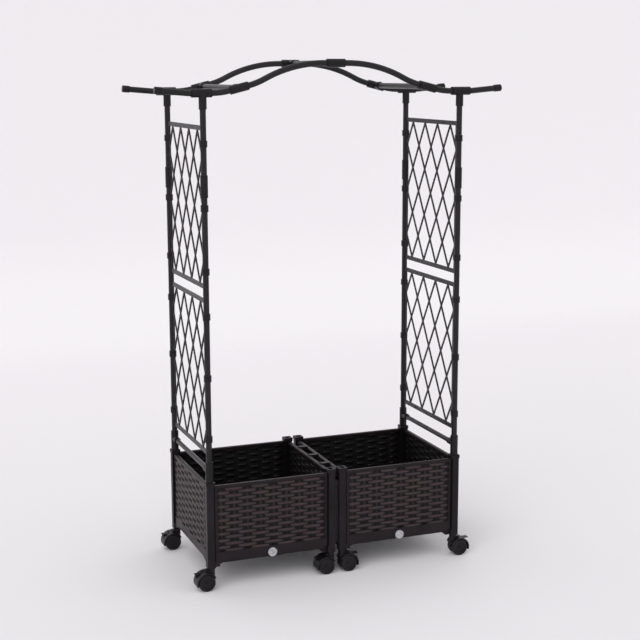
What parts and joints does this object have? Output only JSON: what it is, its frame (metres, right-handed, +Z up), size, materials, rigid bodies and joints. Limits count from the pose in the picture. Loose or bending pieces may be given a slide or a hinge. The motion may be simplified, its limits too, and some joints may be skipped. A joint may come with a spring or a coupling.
{
  "type": "planter with trellis",
  "caption": "Square rattan-look planter boxes on casters, joined side by side, with a tube trellis arch, lattice side panels, drain plugs and a water reservoir.",
  "frame": {"origin": "on the floor, under the middle of the pair of boxes", "axes": "+Z up, +X along both boxes to the right seen from the front, the fronts with the drain plugs face -Y"},
  "size_m": [1.052, 0.416, 1.514],
  "materials": {
    "rattan_plastic": "moulded rattan weave, satin",
    "black_plastic": "satin",
    "grid_plastic": "satin",
    "clear_plastic": "frosted",
    "caster_plastic": "satin",
    "wheel_plastic": "satin",
    "tube_plastic": "satin gloss",
    "lattice_plastic": "satin",
    "fitting_plastic": "satin"
  },
  "bodies": {
    "planter": {"arch_connectors": "fitting_plastic", "arch_cross_tubes": "tube_plastic", "box_joiners": "black_plastic", "cross_rails": "tube_plastic", "end_caps": "fitting_plastic", "front_arch_tubes": "tube_plastic", "front_left_pole": "tube_plastic", "front_right_pole": "tube_plastic", "lattice_clips": "fitting_plastic", "left_back_panel": "rattan_plastic", "left_base_tray": "black_plastic", "left_front_panel": "rattan_plastic", "left_inner_panel": "rattan_plastic", "left_inner_posts": "black_plastic", "left_lower_lattice": "lattice_plastic", "left_outer_panel": "rattan_plastic", "left_outer_posts": "black_plastic", "left_upper_lattice": "lattice_plastic", "low_tees": "fitting_plastic", "pole_couplers": "fitting_plastic", "rear_arch_tubes": "tube_plastic", "rear_left_pole": "tube_plastic", "rear_right_pole": "tube_plastic", "right_back_panel": "rattan_plastic", "right_base_tray": "black_plastic", "right_front_panel": "rattan_plastic", "right_inner_panel": "rattan_plastic", "right_inner_posts": "black_plastic", "right_lower_lattice": "lattice_plastic", "right_outer_panel": "rattan_plastic", "right_outer_posts": "black_plastic", "right_upper_lattice": "lattice_plastic", "soil_grids": "grid_plastic", "top_tees": "fitting_plastic"},
    "left_outer_front_swivel": {"left_outer_front_caster_hood": "caster_plastic"},
    "left_outer_front_wheels": {"left_outer_front_caster_wheels": "wheel_plastic"},
    "left_outer_front_brake": {"left_outer_front_brake_lever": "caster_plastic"},
    "left_outer_rear_swivel": {"left_outer_rear_caster_hood": "caster_plastic"},
    "left_outer_rear_wheels": {"left_outer_rear_caster_wheels": "wheel_plastic"},
    "left_outer_rear_brake": {"left_outer_rear_brake_lever": "caster_plastic"},
    "left_inner_front_swivel": {"left_inner_front_caster_hood": "caster_plastic"},
    "left_inner_front_wheels": {"left_inner_front_caster_wheels": "wheel_plastic"},
    "left_inner_front_brake": {"left_inner_front_brake_lever": "caster_plastic"},
    "left_inner_rear_swivel": {"left_inner_rear_caster_hood": "caster_plastic"},
    "left_inner_rear_wheels": {"left_inner_rear_caster_wheels": "wheel_plastic"},
    "left_inner_rear_brake": {"left_inner_rear_brake_lever": "caster_plastic"},
    "left_plug": {"left_drain_plug": "clear_plastic"},
    "right_outer_front_swivel": {"right_outer_front_caster_hood": "caster_plastic"},
    "right_outer_front_wheels": {"right_outer_front_caster_wheels": "wheel_plastic"},
    "right_outer_front_brake": {"right_outer_front_brake_lever": "caster_plastic"},
    "right_outer_rear_swivel": {"right_outer_rear_caster_hood": "caster_plastic"},
    "right_outer_rear_wheels": {"right_outer_rear_caster_wheels": "wheel_plastic"},
    "right_outer_rear_brake": {"right_outer_rear_brake_lever": "caster_plastic"},
    "right_inner_front_swivel": {"right_inner_front_caster_hood": "caster_plastic"},
    "right_inner_front_wheels": {"right_inner_front_caster_wheels": "wheel_plastic"},
    "right_inner_front_brake": {"right_inner_front_brake_lever": "caster_plastic"},
    "right_inner_rear_swivel": {"right_inner_rear_caster_hood": "caster_plastic"},
    "right_inner_rear_wheels": {"right_inner_rear_caster_wheels": "wheel_plastic"},
    "right_inner_rear_brake": {"right_inner_rear_brake_lever": "caster_plastic"},
    "right_plug": {"right_drain_plug": "clear_plastic"}
  },
  "joints": [
    {"name": "left_outer_front_caster_swivel", "type": "hinge", "parent": "planter", "child": "left_outer_front_swivel", "pos_m": [-0.3905, -0.186, 0.066], "axis": [0, 0, 1], "continuous": true},
    {"name": "left_outer_front_wheel_spin", "type": "hinge", "parent": "left_outer_front_swivel", "child": "left_outer_front_wheels", "pos_m": [-0.4075, -0.186, 0.025], "axis": [0, 1, 0], "continuous": true},
    {"name": "left_outer_front_brake_press", "type": "hinge", "parent": "left_outer_front_swivel", "child": "left_outer_front_brake", "pos_m": [-0.4205, -0.186, 0.051], "axis": [0, -1, 0], "range_deg": [0, 12]},
    {"name": "left_outer_rear_caster_swivel", "type": "hinge", "parent": "planter", "child": "left_outer_rear_swivel", "pos_m": [-0.3905, 0.186, 0.066], "axis": [0, 0, 1], "continuous": true},
    {"name": "left_outer_rear_wheel_spin", "type": "hinge", "parent": "left_outer_rear_swivel", "child": "left_outer_rear_wheels", "pos_m": [-0.4075, 0.186, 0.025], "axis": [0, 1, 0], "continuous": true},
    {"name": "left_outer_rear_brake_press", "type": "hinge", "parent": "left_outer_rear_swivel", "child": "left_outer_rear_brake", "pos_m": [-0.4205, 0.186, 0.051], "axis": [0, -1, 0], "range_deg": [0, 12]},
    {"name": "left_inner_front_caster_swivel", "type": "hinge", "parent": "planter", "child": "left_inner_front_swivel", "pos_m": [-0.0185, -0.186, 0.066], "axis": [0, 0, 1], "range_deg": [-55, 55]},
    {"name": "left_inner_front_wheel_spin", "type": "hinge", "parent": "left_inner_front_swivel", "child": "left_inner_front_wheels", "pos_m": [-0.0355, -0.186, 0.025], "axis": [0, 1, 0], "continuous": true},
    {"name": "left_inner_front_brake_press", "type": "hinge", "parent": "left_inner_front_swivel", "child": "left_inner_front_brake", "pos_m": [-0.0485, -0.186, 0.051], "axis": [0, -1, 0], "range_deg": [0, 12]},
    {"name": "left_inner_rear_caster_swivel", "type": "hinge", "parent": "planter", "child": "left_inner_rear_swivel", "pos_m": [-0.0185, 0.186, 0.066], "axis": [0, 0, 1], "range_deg": [-55, 55]},
    {"name": "left_inner_rear_wheel_spin", "type": "hinge", "parent": "left_inner_rear_swivel", "child": "left_inner_rear_wheels", "pos_m": [-0.0355, 0.186, 0.025], "axis": [0, 1, 0], "continuous": true},
    {"name": "left_inner_rear_brake_press", "type": "hinge", "parent": "left_inner_rear_swivel", "child": "left_inner_rear_brake", "pos_m": [-0.0485, 0.186, 0.051], "axis": [0, -1, 0], "range_deg": [0, 12]},
    {"name": "left_plug_pull", "type": "slide", "parent": "planter", "child": "left_plug", "axis": [0, -1, 0], "range_m": [0, 0.03]},
    {"name": "right_outer_front_caster_swivel", "type": "hinge", "parent": "planter", "child": "right_outer_front_swivel", "pos_m": [0.3905, -0.186, 0.066], "axis": [0, 0, 1], "continuous": true},
    {"name": "right_outer_front_wheel_spin", "type": "hinge", "parent": "right_outer_front_swivel", "child": "right_outer_front_wheels", "pos_m": [0.4075, -0.186, 0.025], "axis": [0, 1, 0], "continuous": true},
    {"name": "right_outer_front_brake_press", "type": "hinge", "parent": "right_outer_front_swivel", "child": "right_outer_front_brake", "pos_m": [0.4205, -0.186, 0.051], "axis": [0, 1, 0], "range_deg": [0, 12]},
    {"name": "right_outer_rear_caster_swivel", "type": "hinge", "parent": "planter", "child": "right_outer_rear_swivel", "pos_m": [0.3905, 0.186, 0.066], "axis": [0, 0, 1], "continuous": true},
    {"name": "right_outer_rear_wheel_spin", "type": "hinge", "parent": "right_outer_rear_swivel", "child": "right_outer_rear_wheels", "pos_m": [0.4075, 0.186, 0.025], "axis": [0, 1, 0], "continuous": true},
    {"name": "right_outer_rear_brake_press", "type": "hinge", "parent": "right_outer_rear_swivel", "child": "right_outer_rear_brake", "pos_m": [0.4205, 0.186, 0.051], "axis": [0, 1, 0], "range_deg": [0, 12]},
    {"name": "right_inner_front_caster_swivel", "type": "hinge", "parent": "planter", "child": "right_inner_front_swivel", "pos_m": [0.0185, -0.186, 0.066], "axis": [0, 0, 1], "range_deg": [-55, 55]},
    {"name": "right_inner_front_wheel_spin", "type": "hinge", "parent": "right_inner_front_swivel", "child": "right_inner_front_wheels", "pos_m": [0.0355, -0.186, 0.025], "axis": [0, 1, 0], "continuous": true},
    {"name": "right_inner_front_brake_press", "type": "hinge", "parent": "right_inner_front_swivel", "child": "right_inner_front_brake", "pos_m": [0.0485, -0.186, 0.051], "axis": [0, 1, 0], "range_deg": [0, 12]},
    {"name": "right_inner_rear_caster_swivel", "type": "hinge", "parent": "planter", "child": "right_inner_rear_swivel", "pos_m": [0.0185, 0.186, 0.066], "axis": [0, 0, 1], "range_deg": [-55, 55]},
    {"name": "right_inner_rear_wheel_spin", "type": "hinge", "parent": "right_inner_rear_swivel", "child": "right_inner_rear_wheels", "pos_m": [0.0355, 0.186, 0.025], "axis": [0, 1, 0], "continuous": true},
    {"name": "right_inner_rear_brake_press", "type": "hinge", "parent": "right_inner_rear_swivel", "child": "right_inner_rear_brake", "pos_m": [0.0485, 0.186, 0.051], "axis": [0, 1, 0], "range_deg": [0, 12]},
    {"name": "right_plug_pull", "type": "slide", "parent": "planter", "child": "right_plug", "axis": [0, -1, 0], "range_m": [0, 0.03]}
  ]
}
